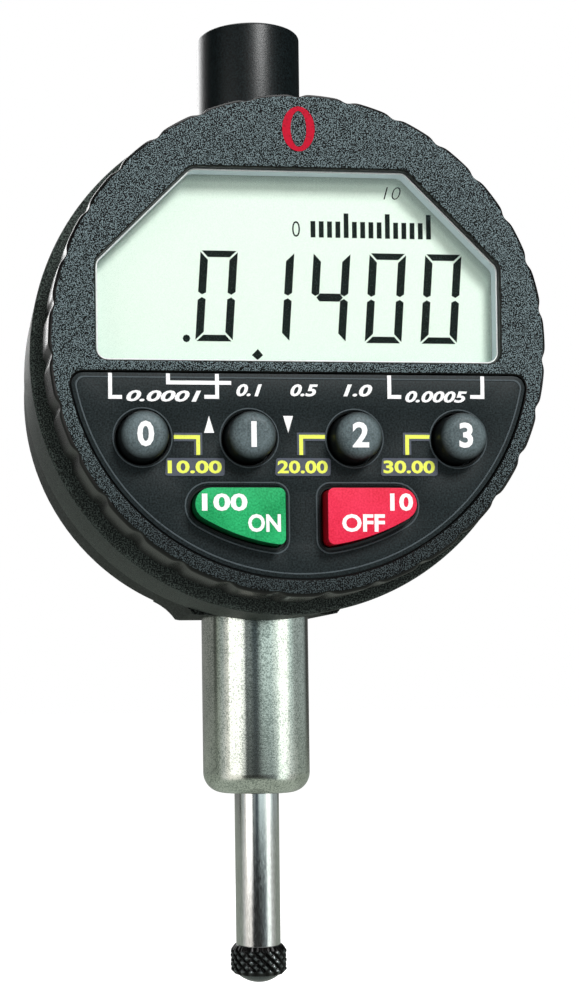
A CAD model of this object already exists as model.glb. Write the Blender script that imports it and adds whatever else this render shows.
import math

import bmesh
import bpy
from mathutils import Matrix, Vector


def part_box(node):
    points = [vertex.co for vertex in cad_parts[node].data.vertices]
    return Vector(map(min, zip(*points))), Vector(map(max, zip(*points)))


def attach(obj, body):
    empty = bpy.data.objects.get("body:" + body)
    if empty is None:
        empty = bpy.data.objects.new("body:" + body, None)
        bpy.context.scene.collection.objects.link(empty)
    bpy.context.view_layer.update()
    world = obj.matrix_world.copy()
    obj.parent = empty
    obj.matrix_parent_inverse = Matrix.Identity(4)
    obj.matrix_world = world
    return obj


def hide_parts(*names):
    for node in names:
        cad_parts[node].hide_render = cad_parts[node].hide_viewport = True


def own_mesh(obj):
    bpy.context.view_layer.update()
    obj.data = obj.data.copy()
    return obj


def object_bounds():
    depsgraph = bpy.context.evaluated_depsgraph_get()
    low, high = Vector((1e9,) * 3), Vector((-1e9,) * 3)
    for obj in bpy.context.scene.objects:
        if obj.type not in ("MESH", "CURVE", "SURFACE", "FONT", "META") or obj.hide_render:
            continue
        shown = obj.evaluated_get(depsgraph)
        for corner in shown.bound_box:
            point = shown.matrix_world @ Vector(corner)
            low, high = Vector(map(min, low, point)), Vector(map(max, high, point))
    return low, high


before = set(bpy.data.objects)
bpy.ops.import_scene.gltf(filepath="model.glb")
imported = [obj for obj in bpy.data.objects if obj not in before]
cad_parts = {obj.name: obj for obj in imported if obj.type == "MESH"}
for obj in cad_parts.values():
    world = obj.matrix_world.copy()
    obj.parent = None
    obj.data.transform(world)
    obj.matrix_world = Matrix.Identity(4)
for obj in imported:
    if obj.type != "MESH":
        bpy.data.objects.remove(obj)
cad_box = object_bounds()

# Rear housing: the cast back half of the case, a drum with a concave flare below that carries the
# stem and a collar above for the dust cap. It is coated in black enamel with a fine sandy texture.
MM = 0.001
WELD = 0.0005
# DIAL is the height of the dial's centre in metres. All other sizes are in millimetres from there.
ring_low, ring_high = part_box("case_ring")
DIAL = (ring_low.z + ring_high.z) / 2


class Wire:
    """One output in a finish's nodes. Arithmetic on it adds Math nodes."""

    def __init__(self, tree, socket=None):
        self.tree, self.socket = tree, socket

    def node(self, kind, settings=None, sockets=None, output=0):
        """Add any node: its settings come first, then the values or wires of its sockets."""
        made = self.tree.nodes.new("ShaderNode" + kind)
        for name, value in (settings or {}).items():
            if name == "stops":
                elements = made.color_ramp.elements
                elements.remove(elements[1])
                elements[0].position, elements[0].color = value[0]
                for position, tone in value[1:]:
                    elements.new(position).color = tone
            else:
                setattr(made, name, value)
        for name, value in (sockets or {}).items():
            if isinstance(value, Wire):
                self.tree.links.new(value.socket, made.inputs[name])
            else:
                made.inputs[name].default_value = value
        return Wire(self.tree, made.outputs[output] if made.outputs else None)

    def maths(self, operation, *values):
        return self.node("Math", {"operation": operation}, dict(enumerate(values)))

    def __add__(self, other):
        return self.maths("ADD", self, other)

    def __rsub__(self, other):
        return self.maths("SUBTRACT", other, self)

    def __mul__(self, other):
        return self.maths("MULTIPLY", self, other)

    __radd__ = __add__
    __rmul__ = __mul__

    def between(self, low, high):
        """0 below low, 1 above high, and an even rise from one to the other."""
        return self.node("MapRange", {}, {"Value": self, "From Min": low, "From Max": high})

    def mixed(self, first, second):
        """The first colour where this wire is 0, and the second where it is 1."""
        return self.node("Mix", {"data_type": "RGBA"}, {0: self, 6: first, 7: second}, 2)


def tone(red, green, blue):
    """A colour as a paint card gives it, 0 to 255, turned into light."""
    def light(value):
        share = value / 255
        return share / 12.92 if share <= 0.04045 else ((share + 0.055) / 1.055) ** 2.4
    return (light(red), light(green), light(blue), 1.0)


def start(name):
    """An empty material, and the wire that adds its nodes."""
    material = bpy.data.materials.new(name)
    material.use_nodes = True
    material.node_tree.nodes.clear()
    return material, Wire(material.node_tree)


def close(paint, sockets):
    """Finish a material with a surface that has these sockets."""
    shader = paint.node("BsdfPrincipled", {}, sockets)
    paint.node("OutputMaterial", {}, {"Surface": shader})


def speckle(paint, size, detail=2.0, stretch=(1.0, 1.0, 1.0)):
    """Noise from 0 to 1 in cells of about size millimetres, fixed to the piece."""
    place = paint.node("TexCoord", output="Object")
    cells = [1 / (MM * size * share) for share in stretch]
    spread = paint.node("VectorMath", {"operation": "MULTIPLY"}, {0: place, 1: cells})
    return paint.node("TexNoise", {}, {"Vector": spread, "Scale": 1.0, "Detail": detail})


def relief(paint, height, depth):
    """Bumps from a wire between 0 and 1, depth millimetres deep."""
    return paint.node("Bump", {}, {"Strength": 1.0, "Distance": depth * MM, "Height": height})


def enamel(name, dark, light, grain, depth, roughness):
    """Baked enamel over a casting: a fine sandy grain with faint lighter and darker clouds."""
    material, paint = start(name)
    sand = speckle(paint, grain, 3.0)
    clouds = speckle(paint, 14 * grain, 3.0)
    mask = (sand * 0.93 + clouds * 0.07).between(0.45, 0.6)
    close(paint, {"Base Color": mask.mixed(dark, light),
                  "Roughness": roughness + 0.2 * sand,
                  "Specular IOR Level": 0.1,
                  "Normal": relief(paint, sand, depth)})
    return material


def settle(bm, name, finish, body, slot, *nodes, sharp=32):
    """Bring a shape drawn in millimetres about the face's centre into the frame as a piece."""
    bmesh.ops.recalc_face_normals(bm, faces=bm.faces)
    for face in bm.faces:
        face.smooth = True
    for edge in bm.edges:
        edge.smooth = len(edge.link_faces) == 2 and edge.calc_face_angle(0) < math.radians(sharp)
    bmesh.ops.scale(bm, vec=(MM, MM, MM), verts=bm.verts)
    bmesh.ops.translate(bm, vec=(0, 0, DIAL), verts=bm.verts)
    mesh = bpy.data.meshes.new(name)
    bm.to_mesh(mesh)
    bm.free()
    mesh.materials.append(finish)
    piece = bpy.data.objects.new(name, mesh)
    bpy.context.scene.collection.objects.link(piece)
    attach(piece, body)
    if nodes:
        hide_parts(*nodes)
    return piece


BOSS_BOTTOM = -20.5
BOSS_REACH = 0.05
BOSS_RISE = 0.3
BOSS_NARROW = 0.97
SAND = 0.2
SAND_DEEP = 0.04


def copied(node):
    """A node's own mesh, merged, in millimetres about the face's centre."""
    bm = bmesh.new()
    bm.from_mesh(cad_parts[node].data)
    bmesh.ops.translate(bm, vec=(0, 0, -DIAL), verts=bm.verts)
    bmesh.ops.scale(bm, vec=(1 / MM, 1 / MM, 1 / MM), verts=bm.verts)
    bmesh.ops.remove_doubles(bm, verts=bm.verts, dist=WELD)
    return bm


housing_enamel = enamel("housing_enamel", tone(3, 4, 4), tone(60, 67, 63),
                        grain=SAND, depth=SAND_DEEP, roughness=0.55)
housing = copied("rear_housing")
for vert in housing.verts:
    if vert.co.z < BOSS_BOTTOM + BOSS_REACH:
        vert.co = (vert.co.x * BOSS_NARROW, vert.co.y, vert.co.z + BOSS_RISE)
settle(housing, "rear_housing_cast", housing_enamel, "case", "case_enamel", "rear_housing")


# Stem: turned and ground steel, with faint rings from the grinding and a fine mottled grain. The
# spindle runs in two bronze bushes, one pressed into its nose and one at the top of the case.
CLOUD = 1.6


def metal(name, colour, roughness, grain, depth, stretch=(1.0, 1.0, 1.0)):
    """Bare metal: grain in a given direction, and slow changes in its polish."""
    material, paint = start(name)
    lines = speckle(paint, grain, 4.0, stretch)
    clouds = speckle(paint, CLOUD, 3.0)
    shade = [0.62 * value for value in colour[:3]] + [1.0]
    mask = (0.65 * lines + 0.35 * clouds).between(0.25, 0.7)
    close(paint, {"Base Color": mask.mixed(shade, colour),
                  "Metallic": 1.0,
                  "Roughness": roughness * 0.6 + roughness * lines.between(0.2, 0.8),
                  "Normal": relief(paint, lines, depth)})
    return material


def dress(finish, *nodes):
    """Give pieces that keep their engineered shape a finish."""
    for name in nodes:
        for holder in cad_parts[name].material_slots:
            holder.material = finish


STEM_RADIUS = 4.7625
STEM_TOP = -20.2
STEM_BOTTOM = -35.87
STEM_NOSE = 1.8
STEM_SHANK = (4.0, -16.6)
STEM_BORE = (3.02, -34.77)
NOSE_BORE = 2.074


def arc(across, up, radius, begin, end, steps):
    """Points along a part of a circle, from one angle in degrees to another."""
    turns = [math.radians(begin + (end - begin) * step / steps) for step in range(steps + 1)]
    return [(across + radius * math.cos(turn), up + radius * math.sin(turn)) for turn in turns]


def spun(profile, steps, face=False):
    """Turn an outline of (radius, place) pairs: place runs up the spindle, or out of the face."""
    bm = bmesh.new()
    line = [bm.verts.new((radius, -place, 0) if face else (radius, 0, place))
            for radius, place in profile]
    edges = [bm.edges.new(pair) for pair in zip(line, line[1:])]
    bmesh.ops.spin(bm, geom=line + edges, cent=(0, 0, 0), axis=(0, 1, 0) if face else (0, 0, 1),
                   angle=2 * math.pi, steps=steps, use_merge=True)
    bmesh.ops.remove_doubles(bm, verts=bm.verts, dist=WELD)
    bmesh.ops.dissolve_degenerate(bm, dist=WELD, edges=bm.edges)
    return bm


def ground_steel():
    """Fine rings from the grinding wheel, peppered all over with small dull pits. The rings draw
    every reflection out along the stem."""
    material, paint = start("ground_steel")
    rings = speckle(paint, 0.15, 3.0, (4.0, 4.0, 0.7))
    pits = speckle(paint, 0.13, 1.0)
    clouds = speckle(paint, CLOUD, 3.0)
    mask = (0.75 * pits + 0.25 * clouds).between(0.36, 0.58)
    close(paint, {"Base Color": mask.mixed(tone(158, 166, 158), tone(224, 229, 220)),
                  "Metallic": 1.0,
                  "Anisotropic": 0.7,
                  "Anisotropic Rotation": 0.25,
                  "Roughness": 0.21 - 0.05 * mask,
                  "Normal": relief(paint, 0.6 * rings + 0.4 * pits, 0.005)})
    return material


nose = arc(STEM_RADIUS - STEM_NOSE, STEM_BOTTOM + STEM_NOSE, STEM_NOSE, -90, 0, 12)
stem = [(NOSE_BORE, STEM_BOTTOM)] + nose
stem += [(STEM_RADIUS, STEM_TOP), (STEM_SHANK[0], STEM_TOP), STEM_SHANK, (STEM_BORE[0], STEM_SHANK[1])]
stem += [STEM_BORE, (NOSE_BORE, STEM_BORE[1]), (NOSE_BORE, STEM_BOTTOM)]
settle(spun(stem, 128), "stem_ground", ground_steel(), "case", "ground_steel", "stem")
TURNED = (6.0, 6.0, 0.5)
bush_bronze = metal("bush_bronze", tone(196, 148, 92), roughness=0.3, grain=0.2, depth=0.002,
                    stretch=TURNED)
dress(bush_bronze, "lower_bush", "upper_bush")


# Dust cap: a plain turned cap, anodised black, screwed on over the upper bush. It has a satin face
# with a barely visible mottling and a small round edge at its top.
MOTTLE = 0.14


def anodised(name, dark, light, roughness):
    """Dyed and sealed aluminium: satin, with a faint mottling."""
    material, paint = start(name)
    grain = speckle(paint, MOTTLE, 3.0)
    close(paint, {"Base Color": grain.between(0.35, 0.68).mixed(dark, light),
                  "Roughness": roughness + 0.12 * grain,
                  "Specular IOR Level": 0.25,
                  "Normal": relief(paint, grain, 0.008)})
    return material


CAP_RADIUS = 4.6
CAP_TOP = 31.9
CAP_BOTTOM = 20.6
CAP_EDGE = 0.25
CAP_THREAD = (3.32, 24.7)
CAP_BORE = (2.6, 31.15)
cap = [(0, CAP_TOP)] + arc(CAP_RADIUS - CAP_EDGE, CAP_TOP - CAP_EDGE, CAP_EDGE, 90, 0, 5)
cap += [(CAP_RADIUS, CAP_BOTTOM), (CAP_THREAD[0], CAP_BOTTOM), CAP_THREAD, (CAP_BORE[0], CAP_THREAD[1])]
cap += [CAP_BORE, (0, CAP_BORE[1])]
cap_black = anodised("cap_black", tone(2, 4, 4), tone(18, 28, 30), roughness=0.28)
settle(spun(cap, 128), "dust_cap_turned", cap_black, "case", "cap_black", "dust_cap")


# Spindle and what rides on it: the polished and hardened spindle, the alloy carriage clamped on it,
# and the glass-fibre scale that the fixed board reads. The spring round the spindle pushes it out.
THREAD = 0.35


def laminate(name, dark, light):
    """Printed board: woven glass under green or amber resin."""
    material, paint = start(name)
    weft = speckle(paint, THREAD, 1.0, (1.0, 1.0, 0.3))
    warp = speckle(paint, THREAD, 1.0, (0.3, 1.0, 1.0))
    weave = 0.5 * weft + 0.5 * warp
    close(paint, {"Base Color": weave.between(0.3, 0.7).mixed(dark, light),
                  "Roughness": 0.35 + 0.1 * weave,
                  "Normal": relief(paint, weave, 0.01)})
    return material


SPINDLE_RADIUS = 1.984
SPINDLE_TOP = 18.2
SPINDLE_BOTTOM = -49.43
SPINDLE_EDGE = 0.2
spindle = [(0, SPINDLE_TOP)]
spindle += arc(SPINDLE_RADIUS - SPINDLE_EDGE, SPINDLE_TOP - SPINDLE_EDGE, SPINDLE_EDGE, 90, 0, 4)
spindle += [(SPINDLE_RADIUS, SPINDLE_BOTTOM), (0, SPINDLE_BOTTOM)]
POLISHED = (1.0, 1.0, 6.0)
polished_steel = metal("polished_steel", tone(226, 228, 226), roughness=0.12, grain=0.1, depth=0.0004,
                       stretch=POLISHED)
settle(spun(spindle, 96), "spindle_polished", polished_steel, "plunger", "polished_steel", "spindle")
MILLED = (0.3, 1.0, 1.0)
carriage_alloy = metal("carriage_alloy", tone(190, 192, 195), roughness=0.35, grain=0.3, depth=0.006,
                       stretch=MILLED)
dress(carriage_alloy, "carriage")
spring_steel = metal("spring_steel", tone(170, 172, 176), roughness=0.25, grain=0.1, depth=0.002)
dress(spring_steel, "guide_rail", "snap_ring", "cell_clip")
spring = settle(copied("return_spring"), "return_spring_wound", spring_steel, "case", "spring_steel",
                "return_spring")
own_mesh(spring)
dress(laminate("scale_laminate", tone(120, 92, 40), tone(176, 142, 74)), "measuring_scale")
dress(laminate("board_laminate", tone(14, 60, 34), tone(30, 98, 58)), "sensor_board", "main_board")


# Contact point: black steel, screwed into the spindle. A diamond knurl to turn it by runs round its
# collar, and a low polished dome below is what touches the work.
POINT_RADIUS = 2.5
POINT_COLLAR = 2.55
POINT_CHAMFER = 0.35
DOME_RADIUS = 1.95
DOME_HEIGHT = 0.8
NECK_RADIUS = 1.1
NECK_LONG = 4.0
KNURL_DEEP = 0.28
KNURL_ROUND = 17
KNURL_RISE = 0.8
KNURL_ROWS = 30
KNURL_STEEP = 1.35
KNURL_CUTS = ((1, 1.0), (-1, 0.6))
WORN_RIM = 0.12
WORN_DOME = 0.05


def knurled_point():
    """The collar's wall is cut by two crossing sets of slanted grooves, one deeper than the other."""
    low = SPINDLE_BOTTOM - POINT_COLLAR
    curve = (DOME_RADIUS ** 2 + DOME_HEIGHT ** 2) / (2 * DOME_HEIGHT)
    half = math.degrees(math.asin(DOME_RADIUS / curve))
    straight = POINT_COLLAR - 2 * POINT_CHAMFER
    wall = [(POINT_RADIUS, SPINDLE_BOTTOM - POINT_CHAMFER - straight * row / KNURL_ROWS)
            for row in range(KNURL_ROWS + 1)]
    profile = [(0, SPINDLE_BOTTOM + NECK_LONG), (NECK_RADIUS, SPINDLE_BOTTOM + NECK_LONG),
               (NECK_RADIUS, SPINDLE_BOTTOM), (POINT_RADIUS - POINT_CHAMFER, SPINDLE_BOTTOM)] + wall
    profile += [(POINT_RADIUS - POINT_CHAMFER, low)]
    profile += arc(0, low - DOME_HEIGHT + curve, curve, half - 90, -90, 10)
    bm = spun(profile, 20 * KNURL_ROUND)
    for vert in bm.verts:
        out = math.hypot(vert.co.x, vert.co.y)
        share = min(max((out - POINT_RADIUS + POINT_CHAMFER) / POINT_CHAMFER, 0), 1)
        inside = low - 0.01 < vert.co.z < SPINDLE_BOTTOM + 0.01
        if share > 0 and inside:
            around = KNURL_ROUND * math.atan2(vert.co.y, vert.co.x) / (2 * math.pi)
            cuts = []
            for slope, depth in KNURL_CUTS:
                lift = abs(2 * ((around + slope * vert.co.z / KNURL_RISE) % 1) - 1)
                cuts.append(depth * max(0, 1 - KNURL_STEEP * lift))
            keep = 1 - share * KNURL_DEEP * max(cuts) / out
            vert.co.x *= keep
            vert.co.y *= keep
    return bm


def blackened():
    """Oil-black steel, worn brighter where the knurl stands proud and on the dome."""
    material, paint = start("tip_black")
    grain = speckle(paint, 0.12, 3.0)
    place = paint.node("TexCoord", output="Object")
    out = paint.node("VectorMath", {"operation": "MULTIPLY"}, {0: place, 1: (1, 1, 0)})
    out = paint.node("VectorMath", {"operation": "LENGTH"}, {0: out}, 1)
    up = paint.node("SeparateXYZ", {}, {"Vector": place}, 2)
    bottom = (SPINDLE_BOTTOM - POINT_COLLAR) * MM + DIAL
    proud = out.between((POINT_RADIUS - WORN_RIM) * MM, POINT_RADIUS * MM)
    dome = up.between(bottom, bottom - WORN_DOME * MM)
    worn = proud * (0.3 + grain) + dome * 0.6
    close(paint, {"Base Color": worn.between(0, 1).mixed(tone(2, 2, 2), tone(96, 104, 104)),
                  "Metallic": 0.6,
                  "Roughness": 0.34 - 0.2 * worn,
                  "Normal": relief(paint, grain, 0.004)})
    return material


settle(knurled_point(), "contact_point_knurled", blackened(), "plunger", "tip_black", "contact_point",
       sharp=24)


# Back cover: a cast plate with a fixing lug, over a black gasket, held by four small screws. It has
# the same enamel as the housing, and the screws are bright plated steel.
cover_enamel = enamel("cover_enamel", tone(5, 6, 6), tone(66, 72, 68),
                      grain=SAND, depth=SAND_DEEP, roughness=0.55)
dress(cover_enamel, "back_cover")


def rubber(name, dark, light):
    """Matt rubber or dull moulded plastic."""
    material, paint = start(name)
    grain = speckle(paint, 0.2, 3.0)
    close(paint, {"Base Color": grain.between(0.3, 0.7).mixed(dark, light),
                  "Roughness": 0.62 + 0.15 * grain,
                  "Normal": relief(paint, grain, 0.01)})
    return material


dress(rubber("gasket_rubber", tone(18, 18, 18), tone(34, 34, 34)),
      "cover_gasket", "swivel_seal", "contact_strips")
screw_steel = metal("screw_steel", tone(200, 200, 204), roughness=0.25, grain=0.2, depth=0.004)
dress(screw_steel, "cover_screws", "ring_screws", "face_screws", "coin_cell")


# Case ring: the turned front half of the case, in which the head swivels. Its enamel is thinner and
# greyer than the housing's, with a finer grain.
RING_RADIUS = 20.7
RING_FRONT = 15.6
RING_REAR = 5.4
RING_EDGE = 0.45
RING_BORE = (17.55, 11.25)
RING_POCKET = (18.9, 7.4)
RING_LEDGE = 14.5
ring = [(RING_BORE[0], RING_FRONT)]
ring += arc(RING_RADIUS - RING_EDGE, RING_FRONT - RING_EDGE, RING_EDGE, 90, 0, 6)
ring += [(RING_RADIUS, RING_REAR), (RING_LEDGE, RING_REAR), (RING_LEDGE, RING_POCKET[1]), RING_POCKET]
ring += [(RING_POCKET[0], RING_BORE[1]), RING_BORE, (RING_BORE[0], RING_FRONT)]
ring_enamel = enamel("ring_enamel", tone(18, 22, 20), tone(76, 86, 81),
                     grain=0.12, depth=0.03, roughness=0.42)
settle(spun(ring, 256, True), "case_ring_turned", ring_enamel, "case", "case_enamel", "case_ring")


# Head's back plate: black moulded plastic, with the neck that turns in the ring. The snap ring
# behind it holds the head in the case, and three screws hold it to the face.
dress(rubber("back_plastic", tone(16, 17, 18), tone(30, 32, 33)), "face_back")


# Display glass: a pale green-grey reflecting display. Its figures are dark films inside the glass,
# drawn here as very thin raised bars, with a scale of fifteen ticks above them.
GLASS_FRONT = 19.95
INK_FRONT = GLASS_FRONT + 0.02
DIGIT_WIDE = 2.95
DIGIT_HIGH = 7.12
DIGIT_PITCH = 4.5
DIGIT_LEFT = -7.97
DIGIT_LOW = 0.56
DIGIT_LEAN = 0.5
STROKE = 0.62
CROSS_STROKE = 0.5
STROKE_GAP = 0.11
SHOWN = "01400"
LIT = {"0": "abcdef", "1": "bc", "4": "bcfg"}
DOT = (-8.66, 0.76, 0.3)
DIAMOND = [(-3.5, -0.5), (-3.05, -0.88), (-2.62, -0.5), (-3.03, -0.02)]
TICKS = 15
TICK_LEFT = 1.3
TICK_PITCH = 0.666
TICK_WIDE = 0.38
TICK_LOW = 8.87
TICK_HIGH = 10.15
LONG_TICK_HIGH = 10.81
SCALE_ZERO = (-0.18, 8.88, 0.45, 10.13)
SCALE_TEN = (7.2, 11.98, 8.6, 12.98)


def thicken(bm, faces, distance):
    """Pull a copy of flat faces back by a distance, or out of the dial where it is below 0."""
    sides = bmesh.ops.extrude_face_region(bm, geom=faces, use_keep_orig=True)
    moved = [item for item in sides["geom"] if isinstance(item, bmesh.types.BMVert)]
    bmesh.ops.translate(bm, vec=(0, distance, 0), verts=moved)


def slab(bm, outline, rear, front):
    """Add a flat shape of even thickness, facing out of the dial."""
    face = bm.faces.new([bm.verts.new((across, -rear, up)) for across, up in outline])
    thicken(bm, [face], rear - front)


def strokes():
    """The seven strokes of a figure, in a cell that stands upright, by their usual letters."""
    wide, high, gap, thick = DIGIT_WIDE, DIGIT_HIGH, STROKE_GAP, STROKE
    middle, half = high / 2, thick / 2
    cross = CROSS_STROKE
    inner = thick + gap / 2
    top = [(gap, high), (wide - gap, high),
           (wide - gap - cross, high - cross), (gap + cross, high - cross)]
    upper = [(wide, high - gap), (wide - thick, high - gap - thick),
             (wide - thick, middle + gap + half / 2), (wide - half, middle + gap),
             (wide, middle + gap + half * 0.7)]
    centre = [(half + gap, middle), (inner, middle + half), (wide - inner, middle + half),
              (wide - half - gap, middle), (wide - inner, middle - half), (inner, middle - half)]
    def flipped(outline, across, up):
        return [(wide - x if across else x, high - z if up else z) for x, z in outline]
    return {"a": top, "b": upper, "c": flipped(upper, False, True), "d": flipped(top, False, True),
            "e": flipped(upper, True, True), "f": flipped(upper, True, False), "g": centre}


def display_figures():
    """The five figures with their decimal dot, a small diamond and the scale's ticks."""
    bm = bmesh.new()
    cell = strokes()
    for place, figure in enumerate(SHOWN):
        left = DIGIT_LEFT + place * DIGIT_PITCH
        for stroke in LIT[figure]:
            outline = [(left + x + DIGIT_LEAN * z / DIGIT_HIGH, DIGIT_LOW + z) for x, z in cell[stroke]]
            slab(bm, outline, GLASS_FRONT, INK_FRONT)
    slab(bm, arc(*DOT, 0, 315, 7), GLASS_FRONT, INK_FRONT)
    slab(bm, DIAMOND, GLASS_FRONT, INK_FRONT)
    for tick in range(TICKS):
        left = TICK_LEFT + tick * TICK_PITCH
        right = left + TICK_WIDE
        high = LONG_TICK_HIGH if tick % 5 == 4 else TICK_HIGH
        slab(bm, [(left, TICK_LOW), (right, TICK_LOW), (right, high), (left, high)],
             GLASS_FRONT, INK_FRONT)
    return bm


def lettering(text, left, low, right, high, rear, front, lean=0.0, weight=0.0):
    """Plain figures fitted into a box on a surface, as a shape of even thickness. A single figure
    keeps its own width, in the middle of the box."""
    curve = bpy.data.curves.new("figures", "FONT")
    curve.body, curve.shear, curve.offset, curve.resolution_u = text, lean, weight, 3
    holder = bpy.data.objects.new("figures", curve)
    mesh = bpy.data.meshes.new_from_object(holder)
    bm = bmesh.new()
    bm.from_mesh(mesh)
    bpy.data.objects.remove(holder)
    bpy.data.curves.remove(curve)
    bpy.data.meshes.remove(mesh)
    begin = [min(vert.co[axis] for vert in bm.verts) for axis in (0, 1)]
    span = [max(vert.co[axis] for vert in bm.verts) - begin[axis] for axis in (0, 1)]
    if len(text) == 1:
        wide = min(right - left, (high - low) * span[0] / span[1])
        left, right = (left + right - wide) / 2, (left + right + wide) / 2
    for vert in bm.verts:
        across = (vert.co.x - begin[0]) / span[0]
        up = (vert.co.y - begin[1]) / span[1]
        vert.co = (left + across * (right - left), -rear, low + up * (high - low))
    bmesh.ops.dissolve_limit(bm, angle_limit=0.01, verts=bm.verts, edges=bm.edges)
    thicken(bm, bm.faces[:], rear - front)
    return bm


def joined(*shapes):
    """Several shapes as one."""
    whole = bmesh.new()
    for shape in shapes:
        mesh = bpy.data.meshes.new("part")
        shape.to_mesh(mesh)
        shape.free()
        whole.from_mesh(mesh)
        bpy.data.meshes.remove(mesh)
    return whole


def printed(name, colour, shadow, roughness=0.45, shine=0.3):
    """Screen-printed ink, a little uneven in its cover."""
    material, paint = start(name)
    grain = speckle(paint, 0.16, 2.0)
    close(paint, {"Base Color": grain.between(0.18, 0.45).mixed(shadow, colour),
                  "Roughness": roughness + 0.1 * grain,
                  "Specular IOR Level": shine,
                  "Normal": relief(paint, grain, 0.003)})
    return material


def display_film():
    """The display's pale reflecting layer, even and matt."""
    material, paint = start("display_glass")
    grain = speckle(paint, 0.12, 2.0)
    close(paint, {"Base Color": grain.between(0.3, 0.7).mixed(tone(220, 238, 223), tone(230, 246, 232)),
                  "Roughness": 0.6 + 0.1 * grain,
                  "Specular IOR Level": 0.1})
    return material


dress(display_film(), "lcd_glass")
display_ink = printed("display_ink", tone(8, 20, 17), tone(30, 48, 42), roughness=0.6, shine=0.05)
figures = joined(display_figures(),
                 lettering("0", *SCALE_ZERO, GLASS_FRONT, INK_FRONT, lean=0, weight=-0.01),
                 lettering("10", *SCALE_TEN, GLASS_FRONT, INK_FRONT, lean=0.25, weight=-0.02))
settle(figures, "display_figures", display_ink, "head", "display_glass")


# Window: a clear moulded lens behind the face. Its front face stands a little back in the opening,
# and its edge all round is rounded, which draws a thin bright line.
WINDOW_HALF = 15.9
WINDOW_HALF_TOP = 8.45
WINDOW_LOW = -1.3
WINDOW_SHOULDER = 6.35
WINDOW_TOP = 13.7
WINDOW_ROUND = 0.9
LENS_CLEAR = 0.06
LENS_FRONT = 21.45
LENS_REAR = 20.0
LENS_EDGE = 0.14
EDGE_LINE = 0.1
EDGE_LINE_THICK = 0.01
BORDER_OUT = 0.05
BORDER_SHIFT = (0.85, 1.5)
BORDER_STEPS = ((0.0, 0.4), (0.3, 0.28), (0.5, 0.08), (0.75, 0.02), (1.0, 0.0))


def rounded(corners, steps=6):
    """An outline whose corners, each (across, up, radius), are turned into arcs."""
    points = []
    for before, corner, after in zip(corners[-1:] + corners[:-1], corners, corners[1:] + corners[:1]):
        spot, radius = Vector(corner[:2]), corner[2]
        back = (Vector(before[:2]) - spot).normalized()
        ahead = (Vector(after[:2]) - spot).normalized()
        half = back.angle(ahead) / 2
        centre = spot + (back + ahead).normalized() * radius / math.sin(half)
        begin = spot + back * radius / math.tan(half) - centre
        end = spot + ahead * radius / math.tan(half) - centre
        swing = math.atan2(begin.x * end.y - begin.y * end.x, begin.dot(end))
        for step in range(steps + 1):
            points.append(tuple(centre + Matrix.Rotation(swing * step / steps, 2) @ begin))
    return points


def plate(outlines, rear, front, edge=0.0, segments=3, reach=99.0):
    """A flat piece with holes, from its outlines. Its front edges that lie within reach of the
    dial's centre may be rounded."""
    bm = bmesh.new()
    for outline in outlines:
        ring = [bm.verts.new((across, -front, up)) for across, up in outline]
        for pair in zip(ring, ring[1:] + ring[:1]):
            bm.edges.new(pair)
    bmesh.ops.triangle_fill(bm, edges=bm.edges[:], use_beauty=True)
    thicken(bm, bm.faces[:], front - rear)
    bmesh.ops.recalc_face_normals(bm, faces=bm.faces)
    if edge:
        rim = [item for item in bm.edges if all(abs(vert.co.y + front) < 1e-4 for vert in item.verts)
               and any(abs(face.normal.y) < 0.5 for face in item.link_faces)
               and all(math.hypot(vert.co.x, vert.co.z) < reach for vert in item.verts)]
        bmesh.ops.bevel(bm, geom=rim, offset=edge, offset_type="OFFSET", segments=segments, profile=0.5,
                        affect="EDGES", clamp_overlap=True, material=-1)
    return bm


def window_outline(grow):
    """The opening in the face, its upper corners cut off at 45 degrees, grown by a margin."""
    slant = grow * math.tan(math.radians(22.5))
    top, low = WINDOW_TOP + grow, WINDOW_LOW - grow
    shoulder, side = WINDOW_SHOULDER + slant, WINDOW_HALF + grow
    crown, bend = WINDOW_HALF_TOP + slant, WINDOW_ROUND + grow
    return rounded([(-side, low, bend), (side, low, bend), (side, shoulder, bend), (crown, top, bend),
                    (-crown, top, bend), (-side, shoulder, bend)])


def clear_plastic():
    """Clear on its face. The rounded edge scatters light and looks white, the wall behind it grey."""
    material, paint = start("window_plastic")
    facing = paint.node("TexCoord", output="Normal")
    level = paint.node("SeparateXYZ", {}, {"Vector": facing}, 1)
    level = level.maths("ABSOLUTE", level)
    edge = level.between(0.98, 0.8)
    wall = level.between(0.3, 0.15)
    film = speckle(paint, 3.0, 3.0)
    glow = wall.mixed((0.5, 0.52, 0.52, 1), (0.16, 0.2, 0.205, 1))
    close(paint, {"Base Color": wall.mixed(tone(232, 238, 236), tone(178, 192, 194)),
                  "Roughness": 0.06 + 0.05 * film,
                  "Specular IOR Level": 0.06,
                  "Alpha": 0.002 + 0.004 * film + 0.8 * edge,
                  "Emission Color": edge.mixed((0, 0, 0, 1), glow),
                  "Emission Strength": 1.0})
    return material


lens = plate([window_outline(-LENS_CLEAR)], LENS_REAR, LENS_FRONT, LENS_EDGE)
settle(lens, "window_lens_moulded", clear_plastic(), "head", "window_plastic", "window_lens")
edge_line = plate([window_outline(-LENS_CLEAR), window_outline(-LENS_CLEAR - EDGE_LINE)],
                  LENS_FRONT, LENS_FRONT + EDGE_LINE_THICK)
edge_white = printed("edge_white", tone(246, 250, 248), tone(206, 214, 212))
settle(edge_line, "window_edge_line", edge_white, "head", "window_plastic")


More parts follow.
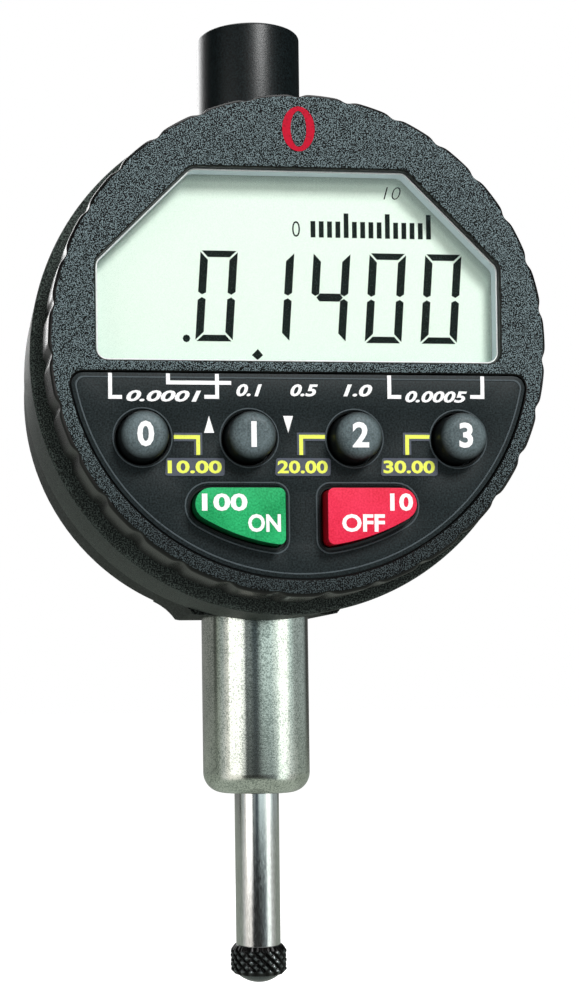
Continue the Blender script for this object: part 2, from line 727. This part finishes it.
def border_tint():
    """Grey where the strip's own fade attribute is 1, and clear where it is 0."""
    material, paint = start("border_tint")
    grain = speckle(paint, 0.14, 3.0)
    fade = paint.node("Attribute", {"attribute_name": "fade"}, output="Fac")
    close(paint, {"Base Color": grain.between(0.35, 0.65).mixed(tone(82, 104, 106), tone(128, 148, 148)),
                  "Roughness": 0.6 + 0.1 * grain,
                  "Specular IOR Level": 0.05,
                  "Alpha": fade * (0.8 + 0.3 * grain)})
    return material


border = bmesh.new()
fade = border.verts.layers.float.new("fade")
rows = []
for share, strength in BORDER_STEPS:
    row = [border.verts.new((across - BORDER_SHIFT[0] * share, -LENS_REAR, up - BORDER_SHIFT[1] * share))
           for across, up in window_outline(BORDER_OUT)]
    for vert in row:
        vert[fade] = strength
    rows.append(row)
for outer, inner in zip(rows, rows[1:]):
    for at in range(-1, len(outer) - 1):
        border.faces.new((outer[at], outer[at + 1], inner[at + 1], inner[at]))
settle(border, "display_border", border_tint(), "head", "display_glass")


# Keys: four small round ones in dark grey plastic and two large ones in green and red, each with
# white printed figures and a soft satin surface. A rubber mat behind them pushes them back.
KEY_RADIUS = 1.97
KEY_FRONT = 23.98
KEY_CROWN = 1.88
KEY_EDGE = 0.9
FLANGE_WIDE = 0.55
FLANGE_FRONT = 19.9
FLANGE_REAR = 19.2
KEY_PITCH = 8.27
KEY_PLACES = [(place - 1.5) * KEY_PITCH for place in range(4)]
KEY_LEVEL = -7.3
BIG_KEY_FRONT = 23.4
BIG_KEY_EDGE = 0.5
BIG_KEY_INNER = 1.65
BIG_KEY_TOP = -11.3
BIG_KEY_RADIUS = 15.8
BIG_KEY_TIP = 1.25
BIG_KEY_CORNER = 0.5
FIGURE_THICK = 0.02
FIGURE_HALF = (0.72, 0.98)
BOLD = 0.03
ON_WORDS = (("100", -8.1, -13.09, -4.6, -11.75), ("ON", -4.57, -14.7, -2.04, -13.32))
OFF_WORDS = (("10", 6.5, -13.08, 8.3, -11.72), ("OFF", 2.72, -14.7, 6.07, -13.32))


def satin(name, wall, dark, light, roughness):
    """Moulded plastic with a soft sheen on its front. Its walls, down in the hole, are dull."""
    material, paint = start(name)
    facing = paint.node("TexCoord", output="Normal")
    level = paint.node("SeparateXYZ", {}, {"Vector": facing}, 1)
    front = level.maths("ABSOLUTE", level).between(0.3, 0.97)
    grain = speckle(paint, 0.15, 3.0)
    clouds = speckle(paint, 2.5, 2.0)
    mask = (0.6 * grain + 0.4 * clouds).between(0.35, 0.65)
    close(paint, {"Base Color": front.mixed(wall, mask.mixed(dark, light)),
                  "Roughness": roughness + 0.1 * grain,
                  "Specular IOR Level": 0.2,
                  "Normal": relief(paint, grain, 0.006)})
    return material


dress(rubber("mat_rubber", tone(60, 62, 64), tone(80, 82, 84)), "keypad_mat")
grey = satin("key_grey", tone(14, 18, 19), tone(66, 77, 79), tone(104, 118, 121), 0.42)
white = printed("white_ink", tone(250, 250, 250), tone(222, 224, 224))
round_key = [(0, KEY_FRONT)]
round_key += arc(KEY_CROWN - KEY_EDGE, KEY_FRONT - KEY_EDGE, KEY_EDGE, 90, 0, 10)
round_key += [(KEY_RADIUS, FLANGE_FRONT), (KEY_RADIUS + FLANGE_WIDE, FLANGE_FRONT)]
round_key += [(KEY_RADIUS + FLANGE_WIDE, FLANGE_REAR), (0, FLANGE_REAR)]
for place, (across, figure) in enumerate(zip(KEY_PLACES, "0123"), 1):
    button = spun(round_key, 64, True)
    bmesh.ops.translate(button, vec=(across, 0, KEY_LEVEL), verts=button.verts)
    settle(button, f"round_button_cap_{place}", grey, f"key_{place}", "key_grey", f"round_button_{place}")
    mark = lettering(figure, across - FIGURE_HALF[0], KEY_LEVEL - FIGURE_HALF[1],
                     across + FIGURE_HALF[0], KEY_LEVEL + FIGURE_HALF[1],
                     KEY_FRONT, KEY_FRONT + FIGURE_THICK, weight=BOLD)
    settle(mark, f"round_button_figure_{place}", white, f"key_{place}", "key_grey")


def big_key_outline(side, grow):
    """Half of the dial's lower segment with a rounded tip. The side is -1 for left and 1 for right."""
    inner, top, radius = BIG_KEY_INNER - grow, BIG_KEY_TOP + grow, BIG_KEY_RADIUS + grow
    tip, corner = BIG_KEY_TIP + grow, BIG_KEY_CORNER + grow
    tip_up = top - tip
    tip_across = math.sqrt((radius - tip) ** 2 - tip_up ** 2)
    tip_turn = math.degrees(math.atan2(tip_up, tip_across))
    low_across = inner + corner
    low_up = -math.sqrt((radius - corner) ** 2 - low_across ** 2)
    low_turn = math.degrees(math.atan2(low_up, low_across))
    points = arc(tip_across, tip_up, tip, 90, tip_turn, 10)
    points += arc(0, 0, radius, tip_turn, low_turn, 14)[1:-1]
    points += arc(low_across, low_up, corner, low_turn, -180, 6)
    points += arc(low_across, top - corner, corner, 180, 90, 6)
    return [(side * x, z) for x, z in points]


def big_key(side):
    """A large key with soft edges, and the flange that keeps it behind the face."""
    return joined(plate([big_key_outline(side, 0)], FLANGE_FRONT, BIG_KEY_FRONT, BIG_KEY_EDGE, 5),
                  plate([big_key_outline(side, FLANGE_WIDE)], FLANGE_REAR, FLANGE_FRONT))


def words(boxes, rear, front, lean=0.0):
    """Words printed in their boxes, each (text, left, low, right, high), as one thin shape."""
    return joined(*[lettering(text, *box, rear, front, lean, BOLD) for text, *box in boxes])


green = satin("key_green", tone(2, 78, 42), tone(8, 134, 74), tone(44, 186, 114), 0.4)
red = satin("key_red", tone(150, 6, 24), tone(212, 22, 54), tone(238, 52, 86), 0.4)
settle(big_key(-1), "on_button_moulded", green, "key_on", "key_green", "on_button")
settle(big_key(1), "off_button_moulded", red, "key_off", "key_red", "off_button")
on_words = words(ON_WORDS, BIG_KEY_FRONT, BIG_KEY_FRONT + FIGURE_THICK)
off_words = words(OFF_WORDS, BIG_KEY_FRONT, BIG_KEY_FRONT + FIGURE_THICK)
settle(on_words, "on_button_words", white, "key_on", "key_green")
settle(off_words, "off_button_words", white, "key_off", "key_red")


# Face: one black moulding with a coarse leather grain, a fluted rim that is smooth and darker, and
# a sunk field for the control panel. A red figure stands at the top of the dial.
FACE_FRONT = 22.0
FACE_RADIUS = 19.6
SKIRT_RADIUS = 19.75
SKIRT_REAR = 17.0
FACE_EDGE = 0.45
FACE_INNER = 20.0
CAVITY_RADIUS = 17.9
FLUTES = 31
FLUTE_DEEP = 0.24
FLUTE_NARROW = 6
OPENING_EDGE = 0.24
PANEL_TOP = -2.25
PANEL_RADIUS = 18.2
PANEL_CORNER = 1.0
RECESS_FLOOR = 21.55
HOLE_CLEAR = 0.13
PLATE_RADIUS = 18.6
FLOOR_RADIUS = 18.4
GRAIN_FROM = 0.04
RUBBED = (-15, -2)
INDEX_LEVEL = 16.76
INDEX_OUTER = (1.28, 1.75)
INDEX_INNER = (0.62, 1.4)
INDEX_THICK = 0.03


def panel_outline(radius, level, bend):
    """The panel's field: part of a circle below a level line, with rounded corners."""
    up = level - bend
    across = math.sqrt((radius - bend) ** 2 - up ** 2)
    turn = math.degrees(math.atan2(up, across))
    right = arc(across, up, bend, 90, turn, 8)
    sweep = arc(0, 0, radius, turn, -180 - turn, 64)
    left = arc(-across, up, bend, 180 - turn, 90, 8)
    return right + sweep[1:-1] + left


def full_circle(across, up, radius, steps):
    return arc(across, up, radius, 0, 360, steps)[:-1]


def key_holes(round_grow, big_grow):
    """Outlines round the four small and the two large keys, wider than the keys by these margins."""
    holes = [full_circle(across, KEY_LEVEL, KEY_RADIUS + round_grow, 48) for across in KEY_PLACES]
    return holes + [big_key_outline(side, big_grow) for side in (-1, 1)]


def fluted_rim():
    """The rounded rim, with narrow grooves that fade out over its front edge."""
    profile = [(PLATE_RADIUS, FACE_FRONT)]
    profile += arc(FACE_RADIUS - FACE_EDGE, FACE_FRONT - FACE_EDGE, FACE_EDGE, 90, 2, 10)
    profile += [(SKIRT_RADIUS, SKIRT_REAR), (CAVITY_RADIUS, SKIRT_REAR), (CAVITY_RADIUS, FACE_INNER)]
    profile += [(PLATE_RADIUS, FACE_INNER), (PLATE_RADIUS, FACE_FRONT)]
    bm = spun(profile, 24 * FLUTES, True)
    flat = FACE_RADIUS - FACE_EDGE
    for vert in bm.verts:
        out = math.hypot(vert.co.x, vert.co.z)
        if out > flat + 0.01:
            turn = math.atan2(vert.co.z, vert.co.x) - math.pi / 2
            valley = (0.5 + 0.5 * math.cos(FLUTES * turn)) ** FLUTE_NARROW
            keep = 1 - FLUTE_DEEP * valley * min(1, (out - flat) / FACE_EDGE) / out
            vert.co.x *= keep
            vert.co.z *= keep
    return bm


def leather_plastic():
    """Pits and ridges about a tenth of a millimetre wide on the front; the rim and all edges are
    plain. The ridges are rubbed paler towards the upper half."""
    material, paint = start("face_plastic")
    ridges = speckle(paint, 0.085, 0.0)
    fine = speckle(paint, 0.06, 1.0)
    place = paint.node("TexCoord", output="Object")
    out = paint.node("SeparateXYZ", {}, {"Vector": place}, 1)
    up = paint.node("SeparateXYZ", {}, {"Vector": place}, 2)
    grainy = out.between((GRAIN_FROM - FACE_FRONT) * MM, (GRAIN_FROM - 0.01 - FACE_FRONT) * MM)
    rubbed = up.between(DIAL + RUBBED[0] * MM, DIAL + RUBBED[1] * MM)
    mask = (0.7 * ridges + 0.3 * fine).between(0.495, 0.56) * grainy * (0.3 + 0.7 * rubbed)
    close(paint, {"Base Color": mask.mixed(tone(1, 2, 2), tone(112, 128, 131)),
                  "Roughness": 0.5 + 0.15 * fine,
                  "Specular IOR Level": 0.1,
                  "Coat Weight": 0.5 - 0.5 * grainy,
                  "Coat Roughness": 0.22,
                  "Normal": relief(paint, ridges * grainy, 0.05)})
    return material


front_plate = plate([full_circle(0, 0, PLATE_RADIUS, 186), window_outline(0),
                     panel_outline(PANEL_RADIUS, PANEL_TOP, PANEL_CORNER)],
                    RECESS_FLOOR, FACE_FRONT, OPENING_EDGE, 4, PANEL_RADIUS + 0.1)
floor_plate = plate([full_circle(0, 0, FLOOR_RADIUS, 186), window_outline(0),
                     *key_holes(HOLE_CLEAR, HOLE_CLEAR)], FACE_INNER, RECESS_FLOOR)
settle(joined(fluted_rim(), front_plate, floor_plate), "face_moulding", leather_plastic(), "head",
       "face_plastic", "face_case")
index_ovals = [[(wide * x, INDEX_LEVEL + high * z) for x, z in full_circle(0, 0, 1, 64)]
               for wide, high in (INDEX_OUTER, INDEX_INNER)]
index_figure = plate(index_ovals, FACE_FRONT, FACE_FRONT + INDEX_THICK)
red_ink = printed("red_ink", tone(186, 2, 40), tone(104, 2, 22), roughness=0.5, shine=0.1)
settle(index_figure, "index_figure", red_ink, "head", "face_plastic")


# Control panel: a printed dark film in the sunk field, with a fine bead pressed round its edge and
# round each key. White and yellow lines and figures lead from the display to the keys.
PANEL_FRONT = 21.85
PANEL_CLEAR = 0.06
FILM_CLEAR = 0.34
ROUND_CLEAR = 0.2
FILM_EDGE = 0.06
BEAD_HIGH = 0.05
BEAD_EDGE = 0.02
PANEL_BEAD = (0.34, 0.46)
ROUND_BEAD = (0.36, 0.26)
BIG_BEAD = (0.62, 0.5)
LINE = 0.3
LINE_TOP = -2.36
PRINT_FRONT = PANEL_FRONT + 0.06
HALO_FRONT = PANEL_FRONT + 0.055
HALO_WIDE = 0.17
HALO_OUT = 0.18
HALO_SIDES = (-0.2, 0.2, 0.25, -0.1)
HALO_ROUND = 0.2
ITALIC = 0.25
WHITE_RUNS = ([(-14.87, LINE_TOP), (-14.87, -4.2), (-13.96, -4.2)],
              [(-7.6, -4.14), (-6.6, -4.14), (-6.6, -3.2)],
              [(-6.6, LINE_TOP), (-6.6, -2.9)],
              [(-10.4, LINE_TOP), (-10.4, -3.05), (-5.5, -3.05)],
              [(6.95, LINE_TOP), (6.95, -4.03), (7.89, -4.03)],
              [(13.41, -3.98), (14.4, -3.98), (14.4, LINE_TOP)])
WHITE_ARROWS = ([(-7.65, -6.92), (-6.87, -6.92), (-7.26, -5.61)],
                [(-1.47, -5.57), (-1.08, -6.89), (-0.69, -5.57)])
WHITE_WORDS = (("0.0001", -13.64, -4.53, -7.85, -3.66), ("0.1", -5.11, -4.08, -3.1, -3.12),
               ("0.5", -0.88, -4.05, 1.3, -3.1), ("1.0", 3.3, -4.03, 5.6, -3.08),
               ("0.0005", 8.21, -4.45, 13.16, -3.55))
YELLOW_RUNS = ([(-10.0, -7.25), (-8.12, -7.25), (-8.12, -8.62)],
               [(1.8, -7.18), (-0.08, -7.18), (-0.08, -8.59)],
               [(10.1, -7.14), (8.31, -7.14), (8.31, -8.55)])
YELLOW_WORDS = (("10.00", -10.5, -10.05, -6.3, -9.05), ("20.00", -1.95, -10.03, 2.0, -9.02),
                ("30.00", 6.4, -10.0, 10.5, -8.99))


def panel_field(shrink):
    """The film's own outline, smaller than the sunk field by a margin."""
    return panel_outline(PANEL_RADIUS - shrink, PANEL_TOP - shrink, PANEL_CORNER - min(shrink, 0.4))


def panel_film():
    """Printed dark film with a satin face."""
    material, paint = start("panel_film")
    grain = speckle(paint, 0.14, 3.0)
    close(paint, {"Base Color": grain.between(0.35, 0.68).mixed(tone(15, 20, 21), tone(38, 48, 50)),
                  "Roughness": 0.42 + 0.15 * grain,
                  "Specular IOR Level": 0.15,
                  "Normal": relief(paint, grain, 0.008)})
    return material


film = plate([panel_field(PANEL_CLEAR), *key_holes(ROUND_CLEAR, FILM_CLEAR)],
             RECESS_FLOOR, PANEL_FRONT, FILM_EDGE, 2)
settle(film, "panel_overlay_film", panel_film(), "head", "panel_film", "panel_overlay")
bead_lines = [[panel_field(shrink) for shrink in PANEL_BEAD]]
bead_lines += zip(*[key_holes(*margins) for margins in zip(ROUND_BEAD, BIG_BEAD)])
beads = [plate(pair, PANEL_FRONT, PANEL_FRONT + BEAD_HIGH, BEAD_EDGE, 1) for pair in bead_lines]
bead_film = printed("bead_film", tone(70, 80, 84), tone(34, 40, 42))
settle(joined(*beads), "panel_beads", bead_film, "head", "panel_film")


def bent_line(bm, points, wide, rear, front):
    """A line of even width that turns only square corners."""
    def beside(side):
        outline = []
        for index, (across, up) in enumerate(points):
            runs = [(points[at], points[at + 1]) for at in (index - 1, index) if 0 <= at < len(points) - 1]
            for (x0, z0), (x1, z1) in runs:
                across += side * wide / 2 * ((z0 > z1) - (z0 < z1))
                up += side * wide / 2 * ((x1 > x0) - (x1 < x0))
            outline.append((across, up))
        return outline
    slab(bm, beside(1) + beside(-1)[::-1], rear, front)


white_lines = bmesh.new()
for run in WHITE_RUNS:
    bent_line(white_lines, run, LINE, PANEL_FRONT, PRINT_FRONT)
for arrow in WHITE_ARROWS:
    slab(white_lines, arrow, PANEL_FRONT, PRINT_FRONT)
white_print = joined(white_lines, words(WHITE_WORDS, PANEL_FRONT, PRINT_FRONT, ITALIC))
settle(white_print, "panel_white_print", white, "head", "panel_film")
halo = bmesh.new()
yellow_lines = bmesh.new()
for run in YELLOW_RUNS:
    bent_line(halo, run, LINE + 2 * HALO_WIDE, PANEL_FRONT, HALO_FRONT)
    bent_line(yellow_lines, run, LINE, PANEL_FRONT, PRINT_FRONT)
for _, left, low, right, high in YELLOW_WORDS:
    levels = (low - HALO_OUT, low - HALO_OUT, high + HALO_OUT, high + HALO_OUT)
    corners = zip((left, right, right, left), levels, HALO_SIDES)
    field = rounded([(across + aside, up, HALO_ROUND) for across, up, aside in corners], 4)
    slab(halo, field, PANEL_FRONT, HALO_FRONT)
halo_ink = printed("halo_ink", tone(78, 84, 96), tone(56, 62, 72))
settle(halo, "panel_halo_print", halo_ink, "head", "panel_film")
yellow_print = joined(yellow_lines, words(YELLOW_WORDS, PANEL_FRONT, PRINT_FRONT))
yellow_ink = printed("yellow_ink", tone(238, 246, 96), tone(214, 222, 84))
settle(yellow_print, "panel_yellow_print", yellow_ink, "head", "panel_film")


# Studio: a white sweep of card below, soft lamps at both sides, above and behind, and the camera
# just left of and below the dial, as someone would hold the gauge up to read it.
FLOOR_DROP = 0.06
FLOOR_HALF = 6
FLOOR_GLOW = 0.9
floor_mesh = bpy.data.meshes.new("floor")
bm = bmesh.new()
bmesh.ops.create_grid(bm, x_segments=1, y_segments=1, size=FLOOR_HALF)
bmesh.ops.translate(bm, vec=(0, 0, cad_box[0][2] - FLOOR_DROP), verts=bm.verts)
bm.to_mesh(floor_mesh)
bm.free()
floor = bpy.data.objects.new("floor", floor_mesh)
bpy.context.scene.collection.objects.link(floor)
card, paint = start("floor_card")
seen = paint.node("LightPath", output="Is Camera Ray")
mirrored = paint.node("LightPath", output="Is Glossy Ray")
matt = paint.node("BsdfDiffuse", {}, {"Color": (0.5, 0.5, 0.5, 1)})
glow = paint.node("Emission", {}, {"Color": (1, 1, 1, 1), "Strength": seen * FLOOR_GLOW})
board = paint.node("AddShader", {}, {0: matt, 1: glow})
absent = paint.node("BsdfTransparent", {}, {"Color": (1, 1, 1, 1)})
surface = paint.node("MixShader", {}, {0: mirrored, 1: board, 2: absent})
paint.node("OutputMaterial", {}, {"Surface": surface})
floor_mesh.materials.append(card)

# The room is even for the eye, and for reflections it is a ring of bright and dark bands: one ring
# for level rays, one for rising rays, one for dipping rays, and a single tone for steep ones.
world = bpy.data.worlds.new("studio")
bpy.context.scene.world = world
world.use_nodes = True
world.node_tree.nodes.clear()
sky = Wire(world.node_tree)
direction = sky.node("TexCoord", output="Generated")
parts = [direction.node("SeparateXYZ", {}, {"Vector": direction}, axis) for axis in (0, 1, 2)]
bearing = parts[0].maths("ARCTAN2", parts[0], parts[1] * -1.0).between(-math.pi, math.pi)


def panorama(spots):
    """A ramp of light round the room: bearings in degrees from the dial's front, + to its right."""
    stops = [((degrees + 180) / 360, (*colour, 1)) for degrees, colour in spots]
    return bearing.node("ValToRGB", {"stops": stops}, {"Fac": bearing})


WHITE, PALE, GREY, DARK = [(level, level, level * 0.98) for level in (2.2, 0.7, 0.24, 0.03)]
SOFT, WARM, LIP = (0.32, 0.35, 0.31), (1.05, 1.0, 0.95), (0.42, 0.46, 0.41)
DIM, COOL, MIST = (0.14, 0.16, 0.17), (0.1, 0.13, 0.15), (0.4, 0.45, 0.46)
BLUE, PEARL = (0.95, 1.12, 1.12), (1.5, 1.6, 1.55)
low_ring = panorama([(-180, GREY), (-112, GREY), (-108, DARK), (-103, DARK), (-98, SOFT),
                     (-84, MIST), (-76, PALE), (-66, WARM), (-42, WARM), (-32, DIM), (-22, MIST),
                     (-13, COOL), (-6, COOL), (6, BLUE), (24, BLUE), (40, PEARL), (46, WHITE),
                     (61, WHITE), (70, BLUE), (84, MIST), (116, MIST), (134, DARK), (180, GREY)])
high_ring = panorama([(-180, DARK), (-34, DARK), (-8, PALE), (20, PALE), (46, DARK), (180, DARK)])
rising = parts[2].between(0.12, 0.26)
floor_ring = panorama([(-180, SOFT), (-100, SOFT), (-84, PALE), (-72, WARM), (-46, WARM), (-36, DARK),
                      (6, DARK), (26, DIM), (36, MIST), (44, PEARL), (56, PEARL), (68, PALE), (96, SOFT),
                      (180, SOFT)])
dipping = parts[2].between(-0.05, -0.06)
falling = parts[2].between(-0.4, -0.55)
bands = dipping.mixed(rising.mixed(low_ring, high_ring), falling.mixed(floor_ring, (*LIP, 1)))
glossy = sky.node("LightPath", output="Is Glossy Ray")
camera_ray = sky.node("LightPath", output="Is Camera Ray")
plain = sky.node("Background", {}, {"Color": (1, 1, 1, 1), "Strength": 0.3 + 0.7 * camera_ray})
banded = sky.node("Background", {}, {"Color": bands, "Strength": 1.0})
room = sky.node("MixShader", {}, {0: glossy, 1: plain, 2: banded})
sky.node("OutputWorld", {}, {"Surface": room})

LAMPS = {"key_lamp": ((0.17, -0.46, 0.38), 0.16, 3.1), "fill_lamp": ((-0.45, -0.38, 0.12), 0.40, 0.6),
         "top_lamp": ((0.0, 0.05, 0.55), 0.35, 1.0), "back_lamp": ((-0.2, 0.5, 0.3), 0.35, 2.0)}
for name, (place, size, power) in LAMPS.items():
    lamp = bpy.data.lights.new(name, "AREA")
    lamp.size, lamp.energy = size, power
    holder = bpy.data.objects.new(name, lamp)
    holder.location = place
    aim = Vector((0, 0, DIAL / 2)) - holder.location
    holder.rotation_euler = aim.to_track_quat("-Z", "Y").to_euler()
    bpy.context.scene.collection.objects.link(holder)

TURN, TILT, ROLL = math.radians(6.29), math.radians(1.30), math.radians(-0.61)
VIEW_RIGHT, VIEW_UP, VIEW_FAR = 10.10, 23.15, 155.91
FOCAL_LENGTH = 62.37
SENSOR = 36
SHIFT = 0.15
ahead = Vector((math.sin(TURN) * math.cos(TILT), math.cos(TURN) * math.cos(TILT), math.sin(TILT)))
level = Vector((math.cos(TURN), -math.sin(TURN), 0))
upright = level.cross(ahead)
right = level * math.cos(ROLL) + upright * math.sin(ROLL)
up = upright * math.cos(ROLL) - level * math.sin(ROLL)
optics = bpy.data.cameras.new("camera")
optics.lens, optics.sensor_width = FOCAL_LENGTH, SENSOR
optics.shift_x = optics.shift_y = SHIFT
optics.clip_start, optics.clip_end = 0.01, 20
camera = bpy.data.objects.new("camera", optics)
camera.matrix_world = Matrix((right, up, -ahead)).transposed().to_4x4()
camera.location = -(right * VIEW_RIGHT + up * VIEW_UP + ahead * VIEW_FAR) * MM + Vector((0, 0, DIAL))
bpy.context.scene.collection.objects.link(camera)
bpy.context.scene.camera = camera
bpy.context.scene.view_settings.view_transform = "Standard"
